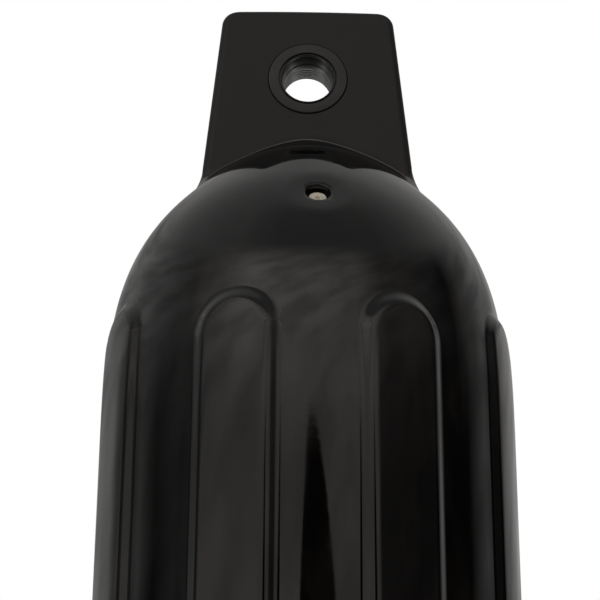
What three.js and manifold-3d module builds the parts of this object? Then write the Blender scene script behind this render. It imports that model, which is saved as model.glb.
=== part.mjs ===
// Twin-eye ribbed boat fender: a hollow moulded vinyl body, an inflation plug and four eye bushes.
// Millimetres. The origin is the centre of the upper eye, +Z runs along the length, -Y is the valve side.

import * as THREE from 'three';
import { ParametricGeometry } from 'three/addons/geometries/ParametricGeometry.js';
import { mergeVertices } from 'three/addons/utils/BufferGeometryUtils.js';
import Module from 'manifold-3d';

const wasm = await Module();
wasm.setup();

// Body
const overallLength = 508;
const ribTopDiameter = 140;
const wall = 3.5;
const domeHeight = 125.5;
const domeAxialPower = 4.19;
const domeRadialPower = 1.185;

// Ribs
const ribCount = 8;
const ribHeight = 2;
const ribTopWidth = 19.4;
const ribFlankWidth = 5.6;
const ribEndBelowCrown = 83.5;
const sideRibEndBelowCrown = 74.7;
const ribRoot = 1.5;
const ribFootStep = 0.15;

// Eye tabs
const tabRise = 55.9;
const tabTopWidth = 61;
const tabRootWidth = 73.6;
const tabThickness = 15.4;
const tabCornerRadius = 5.5;
const tabEdgeRadius = 2.6;
const tabRootRadius = 8.5;
const tabRootSink = 3;
const tabCoreSink = 12;
const eyeBelowTop = 28.7;

// Eye bushes
const eyeBore = 18.6;
const bushBarrelWall = 1.7;
const bushFlangeDiameter = 28.5;
const bushFlangeThickness = 1.6;
const bushProud = 0.4;
const bushEdgeRadius = 0.5;
const bushSeamGap = 0.3;

// Inflation valve
const valveBelowCrown = 41.3;
const valveWellDiameter = 8.8;
const valveWellDepth = 2.4;
const valveDimpleDiameter = 19;
const valveDimpleDepth = 0.5;
const valveDimpleEase = 0.2;
const valveBore = 6.4;
const valveBossDiameter = 22;
const valveBossDepth = 15;
const valveGrooveDiameter = 9.4;
const valveGrooveDepth = 9;
const valveGrooveLength = 3;
const plugDimpleDiameter = 1.8;
const plugDimpleDepth = 1.6;

// Fit of one piece in another, and how far a cutter runs past what it cuts
const seatGap = 0.3;
const cutterOverrun = 6;

// Facets
const bodySegments = 48;
const outerSkin = { inset: 0, domeRings: 14, ribEndSteps: 7, ribFlankSteps: 3 };
const innerSkin = { inset: wall, domeRings: 9, ribEndSteps: 4, ribFlankSteps: 2 };
const ringCrowding = 1.3;
const tabCornerSteps = 3;
const tabFaceSteps = 8;
const tabRootSteps = 4;
const tabTopSteps = 4;
const tabRootStart = 0.07 * Math.PI;
const bushEdgeSteps = 2;
const valveDimpleSteps = 4;
const bossSegments = 20;
const roundSegments = 32;
const weldDistance = 1e-4;

const ribTopRadius = ribTopDiameter / 2;
const bodyRadius = ribTopRadius - ribHeight;
const halfLength = overallLength / 2;
const crown = halfLength - tabRise;
const domeStart = crown - domeHeight;
const middleZ = eyeBelowTop - halfLength;
const eyeAboveMiddle = halfLength - eyeBelowTop;

function finish(color, roughness) {
  return new THREE.MeshStandardMaterial({ color, roughness, metalness: 0 });
}

const blackVinyl = finish(0x141313, 0.22);
const blackNylon = finish(0x1c1b1b, 0.38);
const creamRubber = finish(0xc9bea4, 0.6);

function toManifold(geometry) {
  const source = geometry.clone();
  source.deleteAttribute('normal');
  source.deleteAttribute('uv');
  const merged = mergeVertices(source, weldDistance);
  const corners = merged.index.array;
  const kept = [];
  for (let i = 0; i < corners.length; i += 3) {
    const [a, b, c] = [corners[i], corners[i + 1], corners[i + 2]];
    if (a !== b && b !== c && c !== a) kept.push(a, b, c);
  }
  return new wasm.Manifold(new wasm.Mesh({
    numProp: 3,
    vertProperties: new Float32Array(merged.attributes.position.array),
    triVerts: new Uint32Array(kept),
  }));
}

function toGeometry(solid) {
  const mesh = solid.getMesh();
  const geometry = new THREE.BufferGeometry();
  geometry.setAttribute('position', new THREE.BufferAttribute(mesh.vertProperties.slice(), 3));
  geometry.setIndex(new THREE.BufferAttribute(mesh.triVerts.slice(), 1));
  geometry.computeVertexNormals();
  return geometry;
}

function turned(profile, segments) {
  const points = profile.map(([radius, height]) => new THREE.Vector2(radius, height));
  return new THREE.LatheGeometry(points, segments).rotateX(Math.PI / 2);
}

// A closed skin whose levels shrink to a line or point at both ends
function skin(pointAt, aroundCount, levelCount) {
  const surface = (u, v, target) => {
    const around = Math.round(u * aroundCount) % aroundCount;
    target.copy(pointAt(around, Math.round(v * levelCount)));
  };
  return new ParametricGeometry(surface, aroundCount, levelCount);
}

// Radius of the moulded body above the middle, before the ribs, with the skin moved in by inset
function domeRadius(height, inset = 0) {
  const rise = Math.max(0, height - domeStart) / (domeHeight - inset);
  if (rise >= 1) return 0;
  return (bodyRadius - inset) * (1 - rise ** domeAxialPower) ** (1 / domeRadialPower);
}

function domeHeightAt(radius, inset = 0) {
  const share = Math.min(1, radius / (bodyRadius - inset));
  return domeStart + (domeHeight - inset) * (1 - share ** domeRadialPower) ** (1 / domeAxialPower);
}

// Half profile from the equator to the crown, with rings crowded towards the crown
function domeProfile({ inset, domeRings }) {
  const profile = [];
  for (let i = 0; i <= domeRings; i += 1) {
    const angle = (i / domeRings) ** ringCrowding * Math.PI / 2;
    const radius = (bodyRadius - inset) * Math.cos(angle) ** (2 / domeRadialPower);
    profile.push([i === domeRings ? 0 : radius, domeHeightAt(radius, inset)]);
  }
  return profile;
}

function bodyOfRevolution(skinSizes) {
  const upper = domeProfile(skinSizes);
  const lower = upper.map(([radius, height]) => [radius, -height]).reverse();
  return toManifold(turned([...lower, ...upper], bodySegments));
}

// Points of a long slot outline around a rib, at a distance from its centre line
function slotPoint(index, endSteps, distance, halfSpan) {
  const endCount = endSteps + 1;
  const upperEnd = index < endCount;
  const angle = ((upperEnd ? index : index - endCount) / endSteps) * Math.PI;
  const across = distance * Math.cos(angle) * (upperEnd ? 1 : -1);
  const along = distance * Math.sin(angle) * (upperEnd ? 1 : -1) + (upperEnd ? halfSpan : -halfSpan);
  return [across, along];
}

function smooth(share) {
  return share * share * (3 - 2 * share);
}

// One rib pad standing on the body, its flank easing into the skin
function ribPad(azimuth, endBelowCrown, { inset, ribEndSteps, ribFlankSteps }) {
  const flankSlope = ribHeight / ribFlankWidth;
  const topHalf = ribTopWidth / 2 - inset * flankSlope;
  const halfSpan = crown - endBelowCrown - ribTopWidth / 2;
  const levels = [{ distance: 0, rise: -ribRoot }];
  levels.push({ distance: topHalf + ribFlankWidth, rise: -ribRoot });
  for (let i = 0; i <= ribFlankSteps; i += 1) {
    const share = i / ribFlankSteps;
    levels.push({
      distance: topHalf + ribFlankWidth * (1 - share),
      rise: ribHeight * smooth(share) - (i === 0 ? ribFootStep : 0),
    });
  }
  levels.push({ distance: topHalf / 2, rise: ribHeight });
  levels.push({ distance: 0, rise: ribHeight });
  const pointAt = (around, level) => {
    const { distance, rise } = levels[level];
    const [across, along] = slotPoint(around, ribEndSteps, distance, halfSpan);
    const radius = domeRadius(Math.abs(along), inset) + rise;
    const angle = azimuth + across / ribTopRadius;
    return new THREE.Vector3(radius * Math.sin(angle), -radius * Math.cos(angle), along);
  };
  return toManifold(skin(pointAt, 2 * (ribEndSteps + 1), levels.length - 1));
}

// The ribs on the valve face and the back end lower than those on the sides
function ribbedBody(skinSizes) {
  let solid = bodyOfRevolution(skinSizes);
  for (let i = 0; i < ribCount; i += 1) {
    const azimuth = ((i + 0.5) / ribCount) * 2 * Math.PI;
    const onSide = Math.abs(Math.sin(azimuth)) > Math.SQRT1_2;
    const endBelowCrown = onSide ? sideRibEndBelowCrown : ribEndBelowCrown;
    solid = solid.add(ribPad(azimuth, endBelowCrown, skinSizes));
  }
  return solid;
}

// Outline of a level tab section: a rounded rectangle of the given half sizes, its long sides in steps
function tabOutline(halfWidth, halfThickness, radius) {
  const outline = [];
  const flatHalf = halfWidth - radius;
  for (let corner = 0; corner < 4; corner += 1) {
    const sideX = corner === 0 || corner === 3 ? 1 : -1;
    const sideY = corner < 2 ? 1 : -1;
    for (let step = 0; step <= tabCornerSteps; step += 1) {
      const angle = (corner + step / tabCornerSteps) * Math.PI / 2;
      outline.push([
        sideX * flatHalf + radius * Math.cos(angle),
        sideY * (halfThickness - radius) + radius * Math.sin(angle),
      ]);
    }
    const alongFace = corner % 2 === 0;
    for (let step = 1; alongFace && step < tabFaceSteps; step += 1) {
      const x = sideX * flatHalf * (1 - 2 * step / tabFaceSteps);
      outline.push([x, sideY * halfThickness]);
    }
  }
  return outline;
}

function tabHalfWidth(height) {
  const share = (halfLength - height) / (tabRise + tabRootRadius);
  return THREE.MathUtils.lerp(tabTopWidth, tabRootWidth, share) / 2;
}

function quarter(radius, distance) {
  const reach = THREE.MathUtils.clamp(distance, 0, radius);
  return radius - Math.sqrt(radius * radius - reach * reach);
}

// An upright eye tab that flares into the dome at its root and is rounded at its top edge
function eyeTab() {
  const aroundCount = 4 * (tabCornerSteps + 1) + 2 * (tabFaceSteps - 1);
  const levels = [{ flare: 0, sink: tabCoreSink, closed: true }];
  levels.push({ flare: tabRootRadius, sink: tabRootSink });
  for (let i = 0; i <= tabRootSteps; i += 1) {
    const angle = THREE.MathUtils.lerp(tabRootStart, Math.PI / 2, i / tabRootSteps);
    levels.push({
      flare: tabRootRadius * (1 - Math.sin(angle)),
      rise: tabRootRadius * (1 - Math.cos(angle)),
    });
  }
  for (let i = 0; i <= tabTopSteps; i += 1) {
    const angle = (i / tabTopSteps) * Math.PI / 2;
    levels.push({ height: halfLength - tabCornerRadius * (1 - Math.sin(angle)) });
  }
  levels.push({ height: halfLength, closed: true });
  const pointAt = (around, index) => {
    const level = levels[index];
    if (level.height !== undefined) {
      const intoCorner = level.height - (halfLength - tabCornerRadius);
      const intoEdge = level.height - (halfLength - tabEdgeRadius);
      const halfWidth = tabHalfWidth(level.height) - quarter(tabCornerRadius, intoCorner);
      const halfThickness = tabThickness / 2 - quarter(tabEdgeRadius, intoEdge);
      const radius = Math.min(tabEdgeRadius, halfThickness);
      const [x, y] = tabOutline(halfWidth, halfThickness, radius)[around];
      return new THREE.Vector3(level.closed ? 0 : x, level.closed ? 0 : y, level.height);
    }
    const rootHalf = tabHalfWidth(domeHeightAt(tabRootWidth / 2) + tabRootRadius) + level.flare;
    const outline = tabOutline(rootHalf, tabThickness / 2 + level.flare, tabEdgeRadius + level.flare);
    const [x, y] = level.closed ? [0, 0] : outline[around];
    const skinHeight = domeHeightAt(Math.hypot(x, y));
    return new THREE.Vector3(x, y, skinHeight + (level.rise ?? -level.sink));
  };
  return toManifold(skin(pointAt, aroundCount, levels.length - 1));
}

// A turned solid along Y, its profile given as radius and place along Y
function turnedAlongY(profile, segments, x = 0, z = 0) {
  return toManifold(turned(profile, segments).rotateX(Math.PI / 2).translate(x, 0, z));
}

function cylinderProfile(radius, from, to) {
  return [[0, from], [radius, from], [radius, to], [0, to]];
}

const barrelRadius = eyeBore / 2 + bushBarrelWall;
const flangeRadius = bushFlangeDiameter / 2;
const faceY = tabThickness / 2;
const flangeSeatY = faceY - bushFlangeThickness + bushProud;

// The stepped hole that takes a pair of bushes, cut through a tab
function eyeSeat(centreZ) {
  const barrel = barrelRadius + seatGap;
  const flange = flangeRadius + seatGap;
  const floorY = flangeSeatY - seatGap;
  const beyond = faceY + cutterOverrun;
  const profile = [
    [0, -beyond], [flange, -beyond], [flange, -floorY], [barrel, -floorY],
    [barrel, floorY], [flange, floorY], [flange, beyond], [0, beyond],
  ];
  return turnedAlongY(profile, roundSegments, 0, centreZ);
}

// Half a bush: a flange on the tab face and a barrel to the middle of the tab
function eyeBush() {
  const bore = eyeBore / 2;
  const outerY = faceY + bushProud;
  const innerY = bushSeamGap / 2;
  const profile = [[bore, innerY], [barrelRadius, innerY], [barrelRadius, flangeSeatY]];
  profile.push([flangeRadius, flangeSeatY]);
  for (let i = 0; i <= bushEdgeSteps; i += 1) {
    const angle = (i / bushEdgeSteps) * Math.PI / 2;
    profile.push([
      flangeRadius - bushEdgeRadius * (1 - Math.cos(angle)),
      outerY - bushEdgeRadius * (1 - Math.sin(angle)),
    ]);
  }
  const lip = bushEdgeRadius * 2;
  for (let i = 0; i <= bushEdgeSteps; i += 1) {
    const angle = (i / bushEdgeSteps) * Math.PI / 2;
    profile.push([bore + lip * (1 - Math.sin(angle)), outerY - lip * (1 - Math.cos(angle))]);
  }
  profile.push([bore, innerY]);
  return turned(profile, roundSegments).rotateX(-Math.PI / 2);
}

// Where the valve stands on the dome, and which way it points
const valveHeight = crown - valveBelowCrown;
const valveRadius = domeRadius(valveHeight);
const slopeStep = 0.01;
const radiusDrop = domeRadius(valveHeight - slopeStep) - domeRadius(valveHeight + slopeStep);
const valveSlope = radiusDrop / (2 * slopeStep);
const valveTilt = Math.atan(valveSlope);

function onValveAxis(profile, segments) {
  const tilt = Math.PI / 2 - valveTilt;
  return turned(profile, segments).rotateX(tilt).translate(0, -valveRadius, valveHeight);
}

const plugTop = -valveDimpleDepth - valveWellDepth;
const plugEnd = -valveBossDepth;
const grooveTop = -valveGrooveDepth;
const grooveEnd = grooveTop - valveGrooveLength;

function valveBoss() {
  return toManifold(onValveAxis(cylinderProfile(valveBossDiameter / 2, plugEnd, -wall / 2), bossSegments));
}

// The soft dimple, the well, the bore and the locking groove, as one cutter
function valveSeat() {
  const innerEnd = plugEnd - cutterOverrun;
  const profile = [[0, innerEnd], [valveBore / 2, innerEnd]];
  profile.push([valveBore / 2, grooveEnd], [valveGrooveDiameter / 2, grooveEnd]);
  profile.push([valveGrooveDiameter / 2, grooveTop], [valveBore / 2, grooveTop]);
  profile.push([valveBore / 2, plugTop], [valveWellDiameter / 2, plugTop]);
  for (let i = 0; i <= valveDimpleSteps; i += 1) {
    const share = i / valveDimpleSteps;
    const radius = THREE.MathUtils.lerp(valveWellDiameter, valveDimpleDiameter, share) / 2;
    const sag = radius * radius / ribTopDiameter;
    profile.push([radius, valveDimpleDepth * (smooth(share) - 1) - sag + share * valveDimpleEase]);
  }
  profile.push([valveDimpleDiameter / 2, cutterOverrun], [0, cutterOverrun]);
  return toManifold(onValveAxis(profile, bossSegments));
}

function valvePlug() {
  const stem = valveBore / 2 - seatGap;
  const bulge = valveGrooveDiameter / 2 - seatGap;
  const dimple = plugDimpleDiameter / 2;
  const profile = [[0, plugEnd], [stem, plugEnd]];
  profile.push([stem, grooveEnd + seatGap], [bulge, grooveEnd + seatGap]);
  profile.push([bulge, grooveTop - seatGap], [stem, grooveTop - seatGap]);
  profile.push([stem, plugTop - seatGap], [stem - seatGap, plugTop]);
  profile.push([dimple, plugTop], [dimple / 2, plugTop - plugDimpleDepth], [0, plugTop - plugDimpleDepth]);
  return onValveAxis(profile, bossSegments);
}

function mirroredDown(solid) {
  return solid.mirror([0, 0, 1]);
}

function fenderBody() {
  const tab = eyeTab();
  const outside = ribbedBody(outerSkin).add(tab).add(mirroredDown(tab));
  const inside = ribbedBody(innerSkin).subtract(valveBoss());
  return outside
    .subtract(inside)
    .subtract(valveSeat())
    .subtract(eyeSeat(eyeAboveMiddle))
    .subtract(eyeSeat(-eyeAboveMiddle));
}

const group = new THREE.Group();
group.position.z = middleZ;

function addPiece(name, geometry, material) {
  const mesh = new THREE.Mesh(geometry, material);
  mesh.name = name;
  group.add(mesh);
  return mesh;
}

addPiece('fender_body', toGeometry(fenderBody()), blackVinyl);
addPiece('valve_plug', toGeometry(toManifold(valvePlug())), creamRubber);

for (const [end, height] of [['upper', eyeAboveMiddle], ['lower', -eyeAboveMiddle]]) {
  for (const [side, turn] of [['rear', 0], ['front', Math.PI]]) {
    const bush = addPiece(`${end}_eye_${side}_bush`, toGeometry(toManifold(eyeBush())), blackNylon);
    bush.position.z = height;
    bush.rotation.z = turn;
  }
}

export default group;
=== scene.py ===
import math

import bpy
import numpy as np
from mathutils import Matrix, Vector


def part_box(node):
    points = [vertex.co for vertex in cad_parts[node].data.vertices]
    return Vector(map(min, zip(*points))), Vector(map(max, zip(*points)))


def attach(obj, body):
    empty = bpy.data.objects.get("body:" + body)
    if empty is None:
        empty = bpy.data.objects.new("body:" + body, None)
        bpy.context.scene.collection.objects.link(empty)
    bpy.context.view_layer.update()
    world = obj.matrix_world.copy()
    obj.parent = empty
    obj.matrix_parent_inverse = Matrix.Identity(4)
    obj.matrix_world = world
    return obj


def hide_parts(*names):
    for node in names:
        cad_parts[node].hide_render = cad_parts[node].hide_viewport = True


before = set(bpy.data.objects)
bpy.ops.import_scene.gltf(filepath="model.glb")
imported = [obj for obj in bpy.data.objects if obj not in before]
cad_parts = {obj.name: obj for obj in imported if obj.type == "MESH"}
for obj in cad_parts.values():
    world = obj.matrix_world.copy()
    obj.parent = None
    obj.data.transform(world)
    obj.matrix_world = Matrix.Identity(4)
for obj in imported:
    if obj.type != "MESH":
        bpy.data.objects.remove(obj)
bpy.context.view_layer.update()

mm = 0.001
weldDistance = 0.001 * mm


def deselectAll():
    if bpy.context.object and bpy.context.object.mode != "OBJECT":
        bpy.ops.object.mode_set(mode="OBJECT")
    bpy.ops.object.select_all(action="DESELECT")


def makeActive(piece):
    deselectAll()
    piece.select_set(True)
    bpy.context.view_layer.objects.active = piece


def smoothStep(share):
    share = np.clip(share, 0, 1)
    return share * share * (3 - 2 * share)


# the fender's form, close to its solids; the overall length comes from the CAD body's bounds
fender = {
    "ribCount": 8,
    "ribTopRadius": 70 * mm,
    "ribHeight": 2 * mm,
    "ribHalfWidth": 10.1 * mm,
    "ribFlank": 5.3 * mm,
    "ribEndBelowCrown": 83.5 * mm,
    "sideRibEndBelowCrown": 74.7 * mm,
    "domeHeight": 125.5 * mm,
    "domeAxialPower": 4.19,  # the dome is a superellipse with these two powers
    "domeRadialPower": 1.185,
    "tabRise": 55.9 * mm,
    "tabTopWidth": 61 * mm,
    "tabRootWidth": 73.6 * mm,
    "tabThickness": 15.4 * mm,
    "tabCorner": 5.5 * mm,
    "tabEdge": 2.6 * mm,
    "tabCrown": 0.4 * mm,  # the top edge falls this much to its corners
    "tabTurn": math.radians(-2.6),  # the tabs stand a little askew to the ribs
    "sideFlare": 8.5 * mm,
    "faceFlare": 6.5 * mm,
    "faceRootRise": 3.5 * mm,
    "faceRootPower": 1.7,
    "rightFuller": 0.28,  # the share by which the right flare is larger
    "topLift": 1.8 * mm,  # the dome is higher under the tab, and fades out between these radii
    "topLiftFrom": 30 * mm,
    "topLiftTo": 48 * mm,
    "smoothAngle": math.radians(35),
}
bodyLow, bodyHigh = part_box("fender_body")
halfLength = (bodyHigh[2] - bodyLow[2]) / 2
middleZ = (bodyHigh[2] + bodyLow[2]) / 2
bodyRadius = fender["ribTopRadius"] - fender["ribHeight"]
crownHeight = halfLength - fender["tabRise"]
domeStart = crownHeight - fender["domeHeight"]
tabNormal = Vector((-math.sin(fender["tabTurn"]), math.cos(fender["tabTurn"]), 0))

# columns round the body's mesh, closest on the rib flanks, and rows down one half of it
columns = {"valley": 4, "flank": 8, "ribTop": 16, "tabFace": 44, "tabCorner": 26, "tabSide": 10}
rows = {
    "tabCap": (0.3, 0.65, 0.9),  # scales of the loops inside the tab's top
    "tabCorner": 13,
    "tabSide": 10,
    "root": 17,
    "domeTop": 13,
    "domeSide": 24,
    "ribEnd": 42,
    "ribFoot": 6,
    "middle": 4,
    "firstRingBelowCrown": 30 * mm,
    "aboveRibTip": 1 * mm,
    "belowRibEnd": 3 * mm,
}


# heights here are measured from the fender's middle
def domeRadius(height):
    rise = np.clip((np.asarray(height) - domeStart) / fender["domeHeight"], 0, 1)
    return bodyRadius * (1 - rise ** fender["domeAxialPower"]) ** (1 / fender["domeRadialPower"])


def domeHeightAt(radius):
    share = np.clip(np.asarray(radius) / bodyRadius, 0, 1)
    rise = (1 - share ** fender["domeRadialPower"]) ** (1 / fender["domeAxialPower"])
    outward = (np.asarray(radius) - fender["topLiftFrom"]) / (fender["topLiftTo"] - fender["topLiftFrom"])
    return domeStart + fender["domeHeight"] * rise + fender["topLift"] * (1 - smoothStep(outward))


def columnAngles():
    topAngle = fender["ribHalfWidth"] / fender["ribTopRadius"]
    flankAngle = fender["ribFlank"] / fender["ribTopRadius"]
    valleyAngle = math.pi / fender["ribCount"] - topAngle - flankAngle
    stretches = [
        (valleyAngle, columns["valley"]),
        (flankAngle, columns["flank"]),
        (2 * topAngle, columns["ribTop"]),
        (flankAngle, columns["flank"]),
        (valleyAngle, columns["valley"]),
    ]
    angles, start = [], 0
    for rib in range(fender["ribCount"]):
        for width, count in stretches:
            angles += [start + width * step / count for step in range(count)]
            start += width
    return np.array(angles)


# a rounded rectangle, from the middle of the front face round to the right
def tabLoop(halfWidth, halfThickness, corner):
    face = np.linspace(0, halfWidth - corner, columns["tabFace"], endpoint=False)
    turn = np.linspace(0, math.pi / 2, columns["tabCorner"], endpoint=False)
    side = np.linspace(halfThickness - corner, 0, columns["tabSide"] + 1)
    xs = [face, halfWidth - corner + corner * np.sin(turn), np.full(len(side), halfWidth)]
    ys = [np.full(len(face), -halfThickness), -halfThickness + corner - corner * np.cos(turn), -side]
    x, y = np.concatenate(xs), np.concatenate(ys)
    x = np.concatenate([x[:-1], x[:0:-1]])
    y = np.concatenate([y[:-1], -y[:0:-1]])
    return np.concatenate([x, -x]), np.concatenate([y, -y])


# how far a rounded edge has come in, at this reach past the edge's start
def roundedIn(radius, reach):
    reach = max(0, reach)
    return radius - math.sqrt(max(0, radius * radius - reach * reach))


def tabHalfWidth(height):
    share = (halfLength - height) / (fender["tabRise"] + fender["sideFlare"])
    return (fender["tabTopWidth"] + (fender["tabRootWidth"] - fender["tabTopWidth"]) * share) / 2


def tabSection(height):
    intoCorner = height - (halfLength - fender["tabCorner"])
    intoEdge = height - (halfLength - fender["tabEdge"])
    halfWidth = tabHalfWidth(height) - roundedIn(fender["tabCorner"], intoCorner)
    halfThickness = fender["tabThickness"] / 2 - roundedIn(fender["tabEdge"], intoEdge)
    x, y = tabLoop(halfWidth, halfThickness, fender["tabEdge"])
    crown = fender["tabCrown"] * (x / halfWidth) ** 2 * max(0, intoCorner) / fender["tabCorner"]
    return np.stack([x, y, height - crown], 1)


# how far each column of the tab's loop has turned from the face, 0, to the side, 1
def sideShares():
    turn = smoothStep(np.linspace(0, 1, columns["tabCorner"], endpoint=False))
    share = np.concatenate([np.zeros(columns["tabFace"]), turn, np.ones(columns["tabSide"] + 1)])
    share = np.concatenate([share[:-1], share[:0:-1]])
    return np.concatenate([share, share])


# a round flare at the tab's two sides, and a crisp crease with a short ramp along its faces
def rootSection(turn):
    faceOut = 1 - max(0, math.cos(turn)) ** fender["faceRootPower"]
    faceUp = 1 - math.sin(turn) ** fender["faceRootPower"]
    sideFlare, faceFlare = fender["sideFlare"] * (1 - math.cos(turn)), fender["faceFlare"] * faceOut
    rootHalf = tabHalfWidth(float(domeHeightAt(fender["tabRootWidth"] / 2)) + fender["sideFlare"])
    corner = fender["tabEdge"] + (sideFlare + faceFlare) / 2
    x, y = tabLoop(rootHalf + sideFlare, fender["tabThickness"] / 2 + faceFlare, corner)
    fuller = fender["rightFuller"] * smoothStep(x / rootHalf)
    x = x + fuller * sideFlare
    sideRise = fender["sideFlare"] * (1 - math.sin(turn))
    faceRise = fender["faceRootRise"] * faceUp
    rise = (faceRise + (sideRise - faceRise) * sideShares()) * (1 + fuller)
    return np.stack([x, y, domeHeightAt(np.hypot(x, y)) + rise], 1)


# one ring of the ribbed body; the ribs nearer to the two sides than to the front or back end higher
def ringSection(angles, height):
    nearSide = np.abs(np.sin(angles)) > math.sqrt(0.5)
    endBelow = np.where(nearSide, fender["sideRibEndBelowCrown"], fender["ribEndBelowCrown"])
    archCentre = crownHeight - endBelow - fender["ribHalfWidth"]
    sector = 2 * math.pi / fender["ribCount"]
    across = (np.mod(angles, sector) - sector / 2) * fender["ribTopRadius"]
    distance = np.hypot(across, np.maximum(0, height - archCentre))
    lift = fender["ribHeight"] * smoothStep(1 - (distance - fender["ribHalfWidth"]) / fender["ribFlank"])
    radius = domeRadius(height) + lift
    return np.stack([radius * np.sin(angles), -radius * np.cos(angles), np.full(len(angles), height)], 1)


# every row of the upper half, from the tab's top to the fender's middle
def halfSections():
    top = tabSection(halfLength)
    sections = [top * [scale, scale, 1] for scale in rows["tabCap"]]
    for turn in np.linspace(0, math.pi / 2, rows["tabCorner"]):
        sections.append(tabSection(halfLength - fender["tabCorner"] * (1 - math.cos(turn))))
    shoulder, root = sections[-1], rootSection(0)
    for share in np.linspace(0, 1, rows["tabSide"] + 2)[1:-1]:
        sections.append(shoulder + (root - shoulder) * share)
    sections += [rootSection(turn) for turn in np.linspace(0, math.pi / 2, rows["root"])]
    turned = np.array(Matrix.Rotation(fender["tabTurn"], 3, "Z").transposed())
    sections = [section @ turned for section in sections]

    angles = columnAngles()
    foot = sections[-1]
    ringTop = crownHeight - rows["firstRingBelowCrown"]
    ring = ringSection(angles, ringTop)
    for share in np.linspace(0, 1, rows["domeTop"] + 2)[1:-1]:
        loop = foot + (ring - foot) * share
        loop[:, 2] = domeHeightAt(np.hypot(loop[:, 0], loop[:, 1]))
        sections.append(loop)
    ribTip = crownHeight - fender["sideRibEndBelowCrown"] + fender["ribFlank"] + rows["aboveRibTip"]
    ribEnd = crownHeight - fender["ribEndBelowCrown"] - fender["ribHalfWidth"] - rows["belowRibEnd"]
    heights = list(np.linspace(ringTop, ribTip, rows["domeSide"], endpoint=False))
    heights += list(np.linspace(ribTip, ribEnd, rows["ribEnd"], endpoint=False))
    heights += list(np.linspace(ribEnd, domeStart, rows["ribFoot"], endpoint=False))
    heights += list(np.linspace(domeStart, 0, rows["middle"], endpoint=False))
    return sections + [ringSection(angles, height) for height in heights]


# a sphere with the right number of rings and segments, drawn out to the fender's rows and columns
def makeBody():
    upper = halfSections()
    lower = [section * [1, 1, -1] for section in reversed(upper)]
    loops = np.array(upper + lower)
    columnCount = loops.shape[1]
    deselectAll()
    bpy.ops.mesh.primitive_uv_sphere_add(segments=columnCount, ring_count=len(loops) + 1, radius=1)
    body = bpy.context.object
    body.name = "vinylBody"
    places = np.zeros(len(body.data.vertices) * 3)
    body.data.vertices.foreach_get("co", places)
    places = places.reshape(-1, 3)
    down = np.arccos(np.clip(places[:, 2], -1, 1)) / math.pi
    row = np.rint(down * (len(loops) + 1)).astype(int)
    around = np.arctan2(places[:, 0], -places[:, 1]) / (2 * math.pi)
    column = np.rint(around * columnCount).astype(int) % columnCount
    inside = (row > 0) & (row <= len(loops))
    shaped = np.zeros_like(places)
    shaped[inside] = loops[row[inside] - 1, column[inside]]
    shaped[row == 0] = [0, 0, halfLength]
    shaped[row == len(loops) + 1] = [0, 0, -halfLength]
    shaped[:, 2] += middleZ
    body.data.vertices.foreach_set("co", shaped.ravel())
    body.data.update()
    print("body skin:", len(body.data.polygons), "faces")
    return body


body = makeBody()


# a chain of points is drawn by extruding one vertex, then spun round its axis and put in its place;
# each point is its radius and its place along the axis
def spunPiece(name, profile, steps, centre, direction):
    deselectAll()
    bpy.ops.mesh.primitive_plane_add(size=mm, location=(0, 0, 0))
    piece = bpy.context.object
    piece.name = name
    bpy.ops.object.mode_set(mode="EDIT")
    bpy.ops.mesh.select_all(action="SELECT")
    bpy.ops.mesh.merge(type="CENTER")
    bpy.ops.transform.translate(value=(profile[0][0], 0, profile[0][1]))
    for here, there in zip(profile, profile[1:]):
        step = (there[0] - here[0], 0, there[1] - here[1])
        bpy.ops.mesh.extrude_region_move(TRANSFORM_OT_translate={"value": step})
    bpy.ops.mesh.select_all(action="SELECT")
    bpy.ops.mesh.spin(steps=steps, angle=2 * math.pi, center=(0, 0, 0), axis=(0, 0, 1))
    bpy.ops.mesh.select_all(action="SELECT")
    bpy.ops.mesh.remove_doubles(threshold=weldDistance)
    bpy.ops.mesh.normals_make_consistent(inside=False)
    bpy.ops.object.mode_set(mode="OBJECT")
    turn = Vector(direction).to_track_quat("Z", "Y").to_matrix().to_4x4()
    piece.matrix_world = Matrix.Translation(centre) @ turn
    makeActive(piece)
    bpy.ops.object.transform_apply(location=True, rotation=True, scale=True)
    return piece


# points of an arc from one angle to another, in degrees
def arc(centre, radius, start, end, steps):
    angles = [math.radians(start + (end - start) * step / steps) for step in range(steps + 1)]
    return [(centre[0] + radius * math.cos(a), centre[1] + radius * math.sin(a)) for a in angles]


def cutFrom(piece, cutter):
    makeActive(piece)
    cut = piece.modifiers.new("cut", "BOOLEAN")
    cut.operation, cut.solver, cut.object = "DIFFERENCE", "EXACT", cutter
    bpy.ops.object.modifier_apply(modifier=cut.name)
    bpy.data.objects.remove(cutter)


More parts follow.
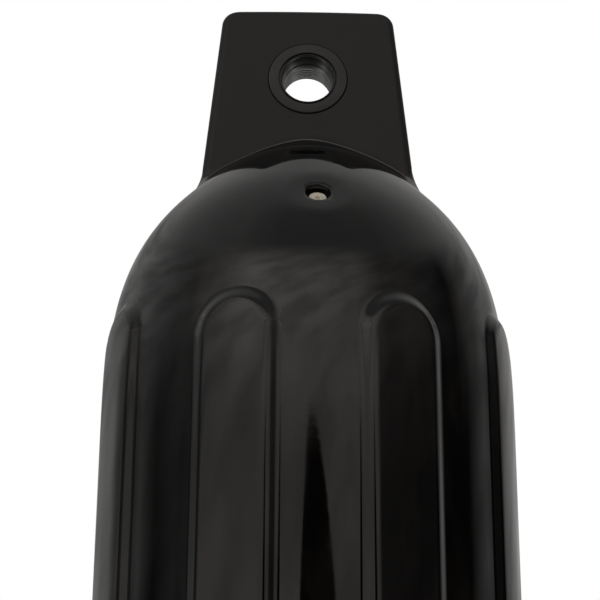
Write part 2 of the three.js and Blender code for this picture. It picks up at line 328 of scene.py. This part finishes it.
# the eye: two flanged half bushes seated in a stepped hole; radii and lengths along the bore
eye = {
    "bore": 9.3 * mm,
    "rearBore": 8.6 * mm,
    "barrel": 11 * mm,
    "throat": 8.25 * mm,  # the bore's narrowest place, halfway through the tab
    "bellPower": 2,
    "flange": 14.1 * mm,
    "flangeThickness": 1.6 * mm,
    "proud": 0.4 * mm,
    "flangeEdge": 0.4 * mm,
    "groove": 0.3 * mm,
    "grooveDepth": 0.7 * mm,
    "grooveCorner": 0.12 * mm,
    "grooveEase": 0.3 * mm,  # an extra ring that keeps the wide face flat beside the groove
    "bead": 0.36 * mm,
    "beadSink": 0.1 * mm,
    "seamChamfer": 0.08 * mm,
    "step": 3.2 * mm,  # in front of the middle
    "stepHeight": 0.12 * mm,
    "ridges": 6,
    "ridgeSteps": 4,
    "ridgeHeight": 0.12 * mm,
    "seatGap": 0.1 * mm,
    "seatLip": 0.2 * mm,
    "cutterOverrun": 3 * mm,
    "lipSteps": 5,
    "edgeSteps": 6,
    "beadSteps": 12,
    "roundSteps": 128,
    "smoothAngle": math.radians(50),
}


def cutEyeSeat(centre):
    face = fender["tabThickness"] / 2
    barrel, flange = eye["barrel"] + eye["seatGap"], eye["flange"] + eye["seatGap"]
    floor = face - eye["flangeThickness"] + eye["proud"] - eye["seatGap"]
    lip, beyond = eye["seatLip"], face + eye["cutterOverrun"]
    upper = [(barrel, floor), (flange, floor)]
    upper += arc((flange + lip, face - lip), lip, 180, 90, eye["lipSteps"])
    upper += [(flange + lip, beyond), (0, beyond)]
    lower = [(radius, -along) for radius, along in reversed(upper)]
    cutFrom(body, spunPiece("eyeCutter", lower + upper, eye["roundSteps"], centre, tabNormal))


# the flange face, a fine groove, a bead at the mouth and a bore that narrows to its throat;
# the front half has a faint step in its bore and the rear half has fine ridges
def makeBush(name, centre, direction, ridged):
    bore = eye["rearBore"] if ridged else eye["bore"]
    outer = fender["tabThickness"] / 2 + eye["proud"]
    seat = outer - eye["flangeThickness"]
    inner = eye["seatGap"] / 2
    edge, bead, chamfer, corner = eye["flangeEdge"], eye["bead"], eye["seamChamfer"], eye["grooveCorner"]
    grooveIn = bore + 2 * bead
    grooveOut = grooveIn + eye["groove"]
    grooveFloor = outer - eye["grooveDepth"]
    profile = [(eye["throat"] + chamfer, inner), (eye["barrel"], inner)]
    profile += [(eye["barrel"], seat), (eye["flange"], seat)]
    profile += arc((eye["flange"] - edge, outer - edge), edge, 0, 90, eye["edgeSteps"])
    profile += [(grooveOut + eye["grooveEase"], outer), (grooveOut + corner, outer)]
    profile += [(grooveOut, outer - corner), (grooveOut, grooveFloor), (grooveIn, grooveFloor)]
    profile += arc((bore + bead, outer - eye["beadSink"] - bead), bead, 0, 180, eye["beadSteps"])
    mouth = profile[-1][1]
    steps = eye["ridges"] * eye["ridgeSteps"]
    for step in range(1, steps + 1):
        bell = (1 - step / steps) ** eye["bellPower"]
        along = mouth + (inner + chamfer - mouth) * step / steps
        if ridged:
            lift = eye["ridgeHeight"] * math.sin(step * math.pi / eye["ridgeSteps"]) ** 2
        else:
            lift = eye["stepHeight"] if along > eye["step"] else 0
        profile.append((eye["throat"] + (bore - eye["throat"]) * bell + lift, along))
    profile.append(profile[0])
    bush = spunPiece(name, profile, eye["roundSteps"], centre, direction)
    bpy.ops.object.shade_smooth_by_angle(angle=eye["smoothAngle"])
    return bush


# the valve: a soft dimple, a round well and a rubber plug low in it, with a hole for the needle
valve = {
    "belowCrown": 41.3 * mm,
    "well": 4.05 * mm,
    "wellDepth": 2.4 * mm,
    "dimple": 10.5 * mm,
    "dimpleDepth": 0.75 * mm,
    "dimpleReach": 10 * mm,
    "mouthSink": 0.15 * mm,
    "mouthLip": 0.8 * mm,
    "lipTurn": 60,
    "flare": 2 * mm,
    "bore": 3.2 * mm,
    "depth": 15 * mm,
    "plug": 2.9 * mm,
    "plugEdge": 0.35 * mm,
    "needle": 0.85 * mm,
    "needleEdgeTurn": 80,
    "needleDepth": 1.6 * mm,
    "needleTaper": 0.7,
    "needleTip": 0.3 * mm,
    "arcSteps": 6,
    "needleSteps": 5,
    "wellRoundSteps": 96,
    "plugRoundSteps": 72,
    "smoothAngle": math.radians(45),
    "slopeSpan": 0.1 * mm,
}
valveHeight = crownHeight - valve["belowCrown"]
slopeLow = float(domeRadius(valveHeight - valve["slopeSpan"]))
slopeHigh = float(domeRadius(valveHeight + valve["slopeSpan"]))
valveAxis = Vector((0, -1, (slopeLow - slopeHigh) / (2 * valve["slopeSpan"]))).normalized()
valvePlace = Vector((0, -float(domeRadius(valveHeight)), valveHeight + middleZ))
plugTop = -valve["dimpleDepth"] - valve["wellDepth"]


def pressDimple():
    places = np.zeros(len(body.data.vertices) * 3)
    body.data.vertices.foreach_get("co", places)
    places = places.reshape(-1, 3)
    axis = np.array(valveAxis)
    away = places - np.array(valvePlace)
    along = away @ axis
    aside = np.linalg.norm(away - along[:, None] * axis, axis=1)
    share = (aside - valve["well"]) / (valve["dimple"] - valve["well"])
    depth = valve["dimpleDepth"] * (1 - smoothStep(share)) * (np.abs(along) < valve["dimpleReach"])
    places -= depth[:, None] * axis
    body.data.vertices.foreach_set("co", places.ravel())
    body.data.update()


# the cutter meets the curved skin steeply, so the well's lip stays whole all round
def cutValveWell():
    lip, well, lipTurn = valve["mouthLip"], valve["well"], math.radians(valve["lipTurn"])
    skinSag = well ** 2 / (2 * fender["ribTopRadius"])
    mouth = -valve["dimpleDepth"] - skinSag - valve["mouthSink"]
    profile = [(0, -valve["depth"]), (valve["bore"], -valve["depth"])]
    profile += [(valve["bore"], plugTop), (well, plugTop)]
    lipCentre = (well + lip, mouth - lip * math.sin(lipTurn))
    profile += arc(lipCentre, lip, 180, 180 - valve["lipTurn"], valve["arcSteps"])
    rim, rimHeight = profile[-1]
    flareTop = rimHeight + valve["flare"] * math.cos(lipTurn)
    profile += [(rim + valve["flare"] * math.sin(lipTurn), flareTop), (0, flareTop)]
    cutFrom(body, spunPiece("valveCutter", profile, valve["wellRoundSteps"], valvePlace, valveAxis))


def makePlug():
    edge, needle = valve["plugEdge"], valve["needle"]
    needleFloor = plugTop - valve["needleDepth"]
    profile = [(0, -valve["depth"]), (valve["plug"], -valve["depth"])]
    profile += arc((valve["plug"] - edge, plugTop - edge), edge, 0, 90, valve["arcSteps"])
    needleTurn = 90 + valve["needleEdgeTurn"]
    profile += arc((needle + edge, plugTop - edge), edge, 90, needleTurn, valve["needleSteps"])
    profile += [(needle * valve["needleTaper"], needleFloor), (0, needleFloor - valve["needleTip"])]
    plug = spunPiece("rubberPlug", profile, valve["plugRoundSteps"], valvePlace, valveAxis)
    bpy.ops.object.shade_smooth_by_angle(angle=valve["smoothAngle"])
    return plug


pressDimple()
eyeCentres = {"upper": (0, 0, 0), "lower": (0, 0, 2 * middleZ)}
for centre in eyeCentres.values():
    cutEyeSeat(centre)
cutValveWell()
makeActive(body)
bpy.ops.object.shade_smooth_by_angle(angle=fender["smoothAngle"])
print("body cut:", len(body.data.polygons), "faces")

plug = makePlug()
bushes = {}
for end, centre in eyeCentres.items():
    for side, direction in (("front", -tabNormal), ("rear", tabNormal)):
        bush = makeBush(f"{end}{side.title()}Bush", centre, direction, side == "rear")
        bushes[f"{end}_eye_{side}_bush"] = bush
print("bushes and plug made")


def fromHex(colour):
    channels = [int(colour[i:i + 2], 16) / 255 for i in (1, 3, 5)]
    linear = [c / 12.92 if c <= 0.04045 else ((c + 0.055) / 1.055) ** 2.4 for c in channels]
    return (*linear, 1)


# adds a node with its settings; an input is a value, an output, or a node, which gives its first output
def addNode(tree, kind, inputs=None, **settings):
    node = tree.nodes.new(kind)
    for name, setting in settings.items():
        setattr(node, name, setting)
    for socket, source in (inputs or {}).items():
        if isinstance(source, bpy.types.Node):
            source = source.outputs[0]
        if isinstance(source, bpy.types.NodeSocket):
            tree.links.new(source, node.inputs[socket])
        else:
            node.inputs[socket].default_value = source
    return node


def newMaterial(name):
    material = bpy.data.materials.new(name)
    material.use_nodes = True
    material.node_tree.nodes.clear()
    return material, material.node_tree


def setRamp(node, stops):
    elements = node.color_ramp.elements
    while len(elements) < len(stops):
        elements.new(0.5)
    for element, (position, colour) in zip(elements, stops):
        element.position, element.color = position, colour


# rotomoulded PVC: the mould's smooth wall gives the body a deep gloss, and the pressed tabs are duller
vinyl = {
    "colour": "#070606",
    "mottle": "#181513",
    "ior": 1.53,
    "bodyRoughness": 0.035,
    "flareRoughness": 0.22,
    "flareSpread": 50 * mm,
    # a painted highlight: a lighter colour along the crease at the tabs' roots
    "creaseHighlightColour": "#625c59",
    "creaseWidth": 1.1 * mm,
    "creaseStart": (0.02 * mm, 0.1 * mm),
    "tabRoughness": 0.47,
    "tabFade": (3 * mm, 9 * mm),
    "tabSkin": 0.4 * mm,
    "wellRoughness": 0.5,
    # painted light: the valve well's wall gets a lighter colour than the vinyl, as if lit from its opening
    "wellPaintedLightColour": "#2e2b29",
    "peelSize": 3 * mm,
    "peelHeight": 0.004 * mm,
    "waveSize": 22 * mm,
    "waveHeight": 0.05 * mm,
    "waveStretch": (1, 1, 0.3),
    "grainSize": 0.5 * mm,  # the real grain is finer, and this is as fine as the render shows
    "grainHeight": 0.003 * mm,
    "smearSize": 14 * mm,
    "smearTurn": (0, math.radians(-28), 0),
    "smearStretch": (1, 1, 0.25),
    "smearTinted": (0.48, 0.72),
    "smearDulled": (0.4, 0.7),
    "smearRoughness": 0.05,
}


def makeVinyl():
    material, tree = newMaterial("glossy moulded PVC")
    thickness = fender["tabThickness"] / 2
    rootFoot = float(domeHeightAt(fender["tabRootWidth"] / 2))
    flareFoot = float(domeHeightAt(fender["tabRootWidth"] / 2 + fender["sideFlare"]))
    wellRim = valve["well"] + valve["mouthLip"]

    # depth from the tabs' middle plane, height from the fender's middle, and the way to the valve
    place = addNode(tree, "ShaderNodeTexCoord").outputs["Object"]
    squared = addNode(tree, "ShaderNodeMapping", {"Vector": place, "Rotation": (0, 0, -fender["tabTurn"])})
    parts = addNode(tree, "ShaderNodeSeparateXYZ", {0: squared})
    depth = addNode(tree, "ShaderNodeMath", {0: parts.outputs["Y"]}, operation="ABSOLUTE")
    rise = addNode(tree, "ShaderNodeMath", {0: parts.outputs["Z"], 1: middleZ}, operation="SUBTRACT")
    height = addNode(tree, "ShaderNodeMath", {0: rise}, operation="ABSOLUTE")
    away = addNode(tree, "ShaderNodeVectorMath", {0: place, 1: valvePlace}, operation="DISTANCE")
    toValve = away.outputs["Value"]

    # masks for the tabs' flat faces, for the flares round their roots and for the painted highlight along the
    # crease line
    high = addNode(tree, "ShaderNodeMapRange", {
        "Value": height, "From Min": rootFoot + vinyl["tabFade"][0],
        "From Max": rootFoot + vinyl["tabFade"][1]})
    thin = addNode(tree, "ShaderNodeMapRange", {
        "Value": depth, "From Min": thickness, "From Max": thickness + vinyl["tabSkin"],
        "To Min": 1, "To Max": 0})
    onTab = addNode(tree, "ShaderNodeMath", {0: high, 1: thin}, operation="MULTIPLY")
    aboveFoot = addNode(tree, "ShaderNodeMapRange", {
        "Value": height, "From Min": flareFoot, "From Max": rootFoot})
    creaseFall = addNode(tree, "ShaderNodeMapRange", {
        "Value": depth, "From Min": thickness + vinyl["creaseWidth"] / 3,
        "From Max": thickness + vinyl["creaseWidth"], "To Min": 1, "To Max": 0})
    offTab = addNode(tree, "ShaderNodeMapRange", {
        "Value": depth, "From Min": thickness + vinyl["creaseStart"][0],
        "From Max": thickness + vinyl["creaseStart"][1]})
    creaseBand = addNode(tree, "ShaderNodeMath", {0: creaseFall, 1: offTab}, operation="MULTIPLY")
    # the crease band above the flares' foot carries the painted highlight
    onCreaseHighlight = addNode(tree, "ShaderNodeMath", {0: creaseBand, 1: aboveFoot}, operation="MULTIPLY")

    # slow waves of the skin, a fine peel, and a grain on the tabs alone
    stretched = addNode(tree, "ShaderNodeMapping", {"Vector": place, "Scale": vinyl["waveStretch"]})
    wave = addNode(tree, "ShaderNodeTexNoise", {"Vector": stretched, "Scale": 1 / vinyl["waveSize"]})
    peel = addNode(tree, "ShaderNodeTexNoise", {"Vector": place, "Scale": 1 / vinyl["peelSize"]})
    grain = addNode(tree, "ShaderNodeTexNoise", {"Vector": place, "Scale": 1 / vinyl["grainSize"]})
    grainOnTab = addNode(tree, "ShaderNodeMath", {0: grain, 1: onTab}, operation="MULTIPLY")
    bump = None
    for pattern, size in ((wave, "waveHeight"), (peel, "peelHeight"), (grainOnTab, "grainHeight")):
        inputs = {"Height": pattern, "Strength": 1, "Distance": vinyl[size]}
        if bump:
            inputs["Normal"] = bump
        bump = addNode(tree, "ShaderNodeBump", inputs)

    # faint slanting smears, a little duller and browner than the skin
    slanted = addNode(tree, "ShaderNodeMapping", {
        "Vector": place, "Rotation": vinyl["smearTurn"], "Scale": vinyl["smearStretch"]})
    smear = addNode(tree, "ShaderNodeTexNoise", {
        "Vector": slanted, "Scale": 1 / vinyl["smearSize"], "Detail": 4, "Roughness": 0.6})
    smearRough = addNode(tree, "ShaderNodeMapRange", {
        "Value": smear, "From Min": vinyl["smearDulled"][0], "From Max": vinyl["smearDulled"][1],
        "To Max": vinyl["smearRoughness"]})
    smearShare = addNode(tree, "ShaderNodeMapRange", {
        "Value": smear, "From Min": vinyl["smearTinted"][0], "From Max": vinyl["smearTinted"][1]})

    nearTab = addNode(tree, "ShaderNodeMapRange", {
        "Value": depth, "From Min": thickness, "From Max": thickness + vinyl["flareSpread"],
        "To Min": vinyl["flareRoughness"], "To Max": 0})
    flareRough = addNode(tree, "ShaderNodeMath", {0: nearTab, 1: aboveFoot}, operation="MULTIPLY")
    wellRough = addNode(tree, "ShaderNodeMapRange", {
        "Value": toValve, "From Min": valve["well"], "From Max": wellRim,
        "To Min": vinyl["wellRoughness"], "To Max": vinyl["bodyRoughness"]})
    bodyRough = addNode(tree, "ShaderNodeMath", {0: wellRough, 1: flareRough}, operation="MAXIMUM")
    baseRough = addNode(tree, "ShaderNodeMix", {0: onTab, 2: bodyRough, 3: vinyl["tabRoughness"]})
    rough = addNode(tree, "ShaderNodeMath", {0: baseRough, 1: smearRough}, operation="ADD")

    # mask for the painted light on the valve well's wall
    inWellPaintedLight = addNode(tree, "ShaderNodeMapRange", {
        "Value": toValve, "From Min": valve["well"], "From Max": valve["well"] + valve["mouthLip"] / 2,
        "To Min": 1, "To Max": 0})
    # the skin's colour gets the smears, then painted light in the valve well and a painted highlight on the
    # crease
    tint = fromHex(vinyl["colour"])
    for share, colour in ((smearShare, "mottle"), (inWellPaintedLight, "wellPaintedLightColour"), (onCreaseHighlight, "creaseHighlightColour")):
        inputs = {0: share, 6: tint, 7: fromHex(vinyl[colour])}
        tint = addNode(tree, "ShaderNodeMix", inputs, data_type="RGBA").outputs[2]
    shader = addNode(tree, "ShaderNodeBsdfPrincipled", {
        "Base Color": tint, "Roughness": rough, "IOR": vinyl["ior"], "Normal": bump})
    addNode(tree, "ShaderNodeOutputMaterial", {"Surface": shader})
    return material


# injection moulded nylon: a fine even satin that blurs what it reflects
nylon = {
    "colour": "#141110",
    "worn": "#211d1b",
    "ior": 1.53,
    "roughness": (0.29, 0.42),
    "cloudSize": 9 * mm,
    "cloudRange": (0.3, 0.7),
    "grainSize": 0.35 * mm,  # coarser than the real grain, so that it shows
    "grainHeight": 0.004 * mm,
}


def makeNylon():
    material, tree = newMaterial("black moulded nylon")
    place = addNode(tree, "ShaderNodeTexCoord").outputs["Object"]
    grain = addNode(tree, "ShaderNodeTexNoise", {
        "Vector": place, "Scale": 1 / nylon["grainSize"], "Detail": 3})
    cloud = addNode(tree, "ShaderNodeTexNoise", {
        "Vector": place, "Scale": 1 / nylon["cloudSize"], "Detail": 3})
    rough = addNode(tree, "ShaderNodeMapRange", {
        "Value": cloud, "From Min": nylon["cloudRange"][0], "From Max": nylon["cloudRange"][1],
        "To Min": nylon["roughness"][0], "To Max": nylon["roughness"][1]})
    tint = addNode(tree, "ShaderNodeMix", {
        0: cloud, 6: fromHex(nylon["colour"]), 7: fromHex(nylon["worn"])}, data_type="RGBA")
    bump = addNode(tree, "ShaderNodeBump", {
        "Height": grain, "Strength": 1, "Distance": nylon["grainHeight"]})
    shader = addNode(tree, "ShaderNodeBsdfPrincipled", {
        "Base Color": tint.outputs[2], "Roughness": rough, "IOR": nylon["ior"], "Normal": bump})
    addNode(tree, "ShaderNodeOutputMaterial", {"Surface": shader})
    return material


# soft natural rubber: a chalky cream with specks of grime
rubber = {
    "colour": "#ece4d3",
    "grime": "#a89c85",
    "ior": 1.52,
    "roughness": 0.62,
    "speckSize": 0.7 * mm,
    "speckHeight": 0.03 * mm,
    "grimeRange": (0.5, 0.75),
}


def makeRubber():
    material, tree = newMaterial("cream valve rubber")
    place = addNode(tree, "ShaderNodeTexCoord").outputs["Object"]
    speck = addNode(tree, "ShaderNodeTexNoise", {
        "Vector": place, "Scale": 1 / rubber["speckSize"], "Detail": 3})
    grime = addNode(tree, "ShaderNodeMapRange", {
        "Value": speck, "From Min": rubber["grimeRange"][0], "From Max": rubber["grimeRange"][1]})
    tint = addNode(tree, "ShaderNodeMix", {
        0: grime, 6: fromHex(rubber["colour"]), 7: fromHex(rubber["grime"])}, data_type="RGBA")
    bump = addNode(tree, "ShaderNodeBump", {
        "Height": speck, "Strength": 1, "Distance": rubber["speckHeight"]})
    shader = addNode(tree, "ShaderNodeBsdfPrincipled", {
        "Base Color": tint.outputs[2], "Normal": bump,
        "Roughness": rubber["roughness"], "IOR": rubber["ior"]})
    addNode(tree, "ShaderNodeOutputMaterial", {"Surface": shader})
    return material


def dress(piece, material, node):
    piece.data.materials.clear()
    piece.data.materials.append(material)
    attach(piece, "root")
    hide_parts(node)


dress(body, makeVinyl(), "fender_body")
dress(plug, makeRubber(), "valve_plug")
bushNylon = makeNylon()
for node, bush in bushes.items():
    dress(bush, bushNylon, node)
print("materials done")

# a plain white studio: a big soft panel in front and to the left, a soft wall behind, a dim ceiling, dark
# flags at both sides and a narrow one in front; bearings run round the fender in degrees from the valve
# side, + towards +X, each with its light level, and heights are in degrees above the horizon
studio = {
    "low": [(-180, 0.5), (-150, 0.4), (-140, 0.36), (-130, 0.48), (-124, 0.22), (-106, 0.25), (-99, 0.13),
            (-93, 0.05), (-78, 0.14), (-72, 0.12), (-65, 0.52), (28, 0.56), (35, 0.07), (70, 0.06),
            (82, 0.008), (97, 0.008), (102, 0.1), (114, 0.24), (134, 0.34), (152, 0.47), (180, 0.5)],
    "middle": [(-180, 0.3), (-156, 0.26), (-128, 0.41), (-110, 0.39), (-76, 0.24), (-62, 0.5), (-36, 1),
               (-16, 0.9), (24, 0.7), (42, 0.26), (74, 0.12), (90, 0.03), (104, 0.2), (120, 0.34), (140, 0.4),
               (180, 0.33)],
    "high": [(-180, 0.3), (-150, 0.44), (-100, 0.38), (-55, 0.35), (-24, 0.25), (48, 0.24), (66, 0.28),
             (90, 0.38), (128, 0.48), (150, 0.42), (180, 0.3)],
    "ceiling": 0.38,
    "lowTop": (17, 28),  # each pair is where one zone starts to give way to the next, and where it has
    "middleTop": (36, 48),
    "highTop": (62, 78),
    "horizon": (-12, -4),
    "below": 0.03,
    "sweep": 2.1,
    "sweepSides": (115, 150),
    "sweepTop": (-30, -8),
    "fill": 0.5,  # the even level that dull surfaces get
    "warmth": (1, 0.93, 0.89),
    "plain": (1, 0.985, 0.97),
    "warmSides": (55, 80),
    "foldSize": (26, 3.4),  # degrees across and up
    "foldSlant": -0.12,
    "foldDepth": 0.24,
    "foldRange": (0.3, 0.7),
    "flag": {"top": 20.2, "bearing": -1.2, "left": 2.2, "right": 6, "edge": (-0.1, 0.3), "level": 0.006},
    "floorDrop": 1.2,
    "floorSize": 3,
    "floorColour": "#f4f3f1",
    "floorRoughness": 0.7,
}


# all the light is in the world: the camera sees plain white, dull surfaces get an even fill, and gloss
# mirrors the studio
def makeStudio():
    world = bpy.data.worlds.new("white studio")
    bpy.context.scene.world = world
    world.use_nodes = True
    tree = world.node_tree
    tree.nodes.clear()

    direction = addNode(tree, "ShaderNodeTexCoord").outputs["Generated"]
    parts = addNode(tree, "ShaderNodeSeparateXYZ", {0: direction})
    ahead = addNode(tree, "ShaderNodeMath", {0: parts.outputs["Y"], 1: -1}, operation="MULTIPLY")
    around = addNode(tree, "ShaderNodeMath", {0: parts.outputs["X"], 1: ahead}, operation="ARCTAN2")
    bearing = addNode(tree, "ShaderNodeMath", {0: around}, operation="DEGREES")
    sideways = addNode(tree, "ShaderNodeMath", {0: bearing}, operation="ABSOLUTE")
    upward = addNode(tree, "ShaderNodeMath", {0: parts.outputs["Z"]}, operation="ARCSINE")
    elevation = addNode(tree, "ShaderNodeMath", {0: upward}, operation="DEGREES")

    # each height's soft step goes from 0 below it to 1 above it
    above = {}
    for name in ("sweepTop", "horizon", "lowTop", "middleTop", "highTop"):
        start, end = studio[name]
        above[name] = addNode(tree, "ShaderNodeMapRange", {
            "Value": elevation, "From Min": start, "From Max": end}, interpolation_type="SMOOTHSTEP")

    # three bands of light levels round the fender, with folds in the two lower ones
    aroundShare = addNode(tree, "ShaderNodeMapRange", {"Value": bearing, "From Min": -180, "From Max": 180})
    bands = {}
    for name in ("low", "middle", "high"):
        bands[name] = addNode(tree, "ShaderNodeValToRGB", {0: aroundShare})
        stops = [((degrees + 180) / 360, (level, level, level, 1)) for degrees, level in studio[name]]
        setRamp(bands[name], stops)
    foldAcross, foldUp = studio["foldSize"]
    slant = addNode(tree, "ShaderNodeMath", {0: bearing, 1: studio["foldSlant"]}, operation="MULTIPLY")
    slanted = addNode(tree, "ShaderNodeMath", {0: elevation, 1: slant}, operation="ADD")
    across = addNode(tree, "ShaderNodeMath", {0: bearing, 1: foldAcross}, operation="DIVIDE")
    up = addNode(tree, "ShaderNodeMath", {0: slanted, 1: foldUp}, operation="DIVIDE")
    foldPlace = addNode(tree, "ShaderNodeCombineXYZ", {0: across, 1: up})
    cloth = addNode(tree, "ShaderNodeTexNoise", {"Vector": foldPlace, "Scale": 1, "Detail": 3})
    folds = addNode(tree, "ShaderNodeMapRange", {
        "Value": cloth, "From Min": studio["foldRange"][0], "From Max": studio["foldRange"][1],
        "To Min": 1 - studio["foldDepth"], "To Max": 1 + studio["foldDepth"]},
        interpolation_type="SMOOTHSTEP")
    level = addNode(tree, "ShaderNodeMix", {0: above["lowTop"], 2: bands["low"], 3: bands["middle"]})
    level = addNode(tree, "ShaderNodeMath", {0: level, 1: folds}, operation="MULTIPLY")
    level = addNode(tree, "ShaderNodeMix", {0: above["middleTop"], 2: level, 3: bands["high"]})
    level = addNode(tree, "ShaderNodeMix", {0: above["highTop"], 2: level, 3: studio["ceiling"]})

    # the narrow flag is a parabola that widens downwards, more to the right
    flag = studio["flag"]
    offCentre = addNode(tree, "ShaderNodeMath", {0: bearing, 1: flag["bearing"]}, operation="SUBTRACT")
    toRight = addNode(tree, "ShaderNodeMath", {0: offCentre, 1: flag["right"]}, operation="DIVIDE")
    toLeft = addNode(tree, "ShaderNodeMath", {0: offCentre, 1: -flag["left"]}, operation="DIVIDE")
    aside = addNode(tree, "ShaderNodeMath", {0: toRight, 1: toLeft}, operation="MAXIMUM")
    widening = addNode(tree, "ShaderNodeMath", {0: aside, 1: aside}, operation="MULTIPLY")
    room = addNode(tree, "ShaderNodeMath", {0: flag["top"], 1: elevation}, operation="SUBTRACT")
    inside = addNode(tree, "ShaderNodeMath", {0: room, 1: widening}, operation="SUBTRACT")
    onFlag = addNode(tree, "ShaderNodeMapRange", {
        "Value": inside, "From Min": flag["edge"][0], "From Max": flag["edge"][1]},
        interpolation_type="SMOOTHSTEP")
    level = addNode(tree, "ShaderNodeMix", {0: onFlag, 2: level, 3: flag["level"]})

    # below the horizon it is dark in front, and a white sweep lies low behind
    sweep = addNode(tree, "ShaderNodeMapRange", {
        "Value": sideways, "From Min": studio["sweepSides"][0], "From Max": studio["sweepSides"][1],
        "To Min": studio["below"], "To Max": studio["sweep"]}, interpolation_type="SMOOTHSTEP")
    lowSweep = addNode(tree, "ShaderNodeMath", {0: sweep, 1: above["sweepTop"]}, operation="MULTIPLY")
    below = addNode(tree, "ShaderNodeMath", {0: lowSweep, 1: studio["below"]}, operation="MAXIMUM")
    level = addNode(tree, "ShaderNodeMix", {0: above["horizon"], 2: below, 3: level})

    # the lower light in front is warmer
    inFront = addNode(tree, "ShaderNodeMapRange", {
        "Value": sideways, "From Min": studio["warmSides"][0], "From Max": studio["warmSides"][1],
        "To Min": 1, "To Max": 0}, interpolation_type="SMOOTHSTEP")
    lowDown = addNode(tree, "ShaderNodeMath", {0: 1, 1: above["middleTop"]}, operation="SUBTRACT")
    warmShare = addNode(tree, "ShaderNodeMath", {0: inFront, 1: lowDown}, operation="MULTIPLY")
    warmth = addNode(tree, "ShaderNodeMix", {
        0: warmShare, 6: (*studio["plain"], 1), 7: (*studio["warmth"], 1)}, data_type="RGBA")
    tone = addNode(tree, "ShaderNodeVectorMath", {0: level, 1: warmth.outputs[2]}, operation="MULTIPLY")

    ray = addNode(tree, "ShaderNodeLightPath")
    fill = (studio["fill"], studio["fill"], studio["fill"], 1)
    white = (1, 1, 1, 1)
    lit = addNode(tree, "ShaderNodeMix", {0: ray.outputs["Is Diffuse Ray"], 6: tone, 7: fill},
                  data_type="RGBA")
    seen = addNode(tree, "ShaderNodeMix", {0: ray.outputs["Is Camera Ray"], 6: lit.outputs[2], 7: white},
                   data_type="RGBA")
    glow = addNode(tree, "ShaderNodeBackground", {"Color": seen.outputs[2], "Strength": 1})
    addNode(tree, "ShaderNodeOutputWorld", {"Surface": glow})


def makeFloor():
    deselectAll()
    floorHeight = bodyLow[2] - studio["floorDrop"]
    bpy.ops.mesh.primitive_plane_add(size=studio["floorSize"], location=(0, 0, floorHeight))
    floor = bpy.context.object
    floor.name = "studioFloor"
    material, tree = newMaterial("pale floor paint")
    shader = addNode(tree, "ShaderNodeBsdfPrincipled", {
        "Base Color": fromHex(studio["floorColour"]), "Roughness": studio["floorRoughness"]})
    addNode(tree, "ShaderNodeOutputMaterial", {"Surface": shader})
    floor.data.materials.append(material)


# the photograph is taken from below and in front, a little to the left of the valve; angles in degrees
camera = {
    "place": (-41.7 * mm, -643.2 * mm, -360.5 * mm),
    "up": 23.307,
    "turn": -3.516,
    "roll": -0.347,
    "lens": 122.17,
    "sensor": 36,
}


def makeCamera():
    lens = bpy.data.cameras.new("camera")
    lens.sensor_width = camera["sensor"]
    lens.lens = camera["lens"]
    viewpoint = bpy.data.objects.new("camera", lens)
    bpy.context.scene.collection.objects.link(viewpoint)
    turn = Matrix.Rotation(math.radians(camera["turn"]), 4, "Z")
    tilt = Matrix.Rotation(math.radians(90 + camera["up"]), 4, "X")
    roll = Matrix.Rotation(math.radians(-camera["roll"]), 4, "Z")
    viewpoint.matrix_world = Matrix.Translation(camera["place"]) @ turn @ tilt @ roll
    bpy.context.scene.camera = viewpoint


makeStudio()
makeFloor()
makeCamera()
bpy.context.scene.view_settings.view_transform = "Standard"
print("studio ready")
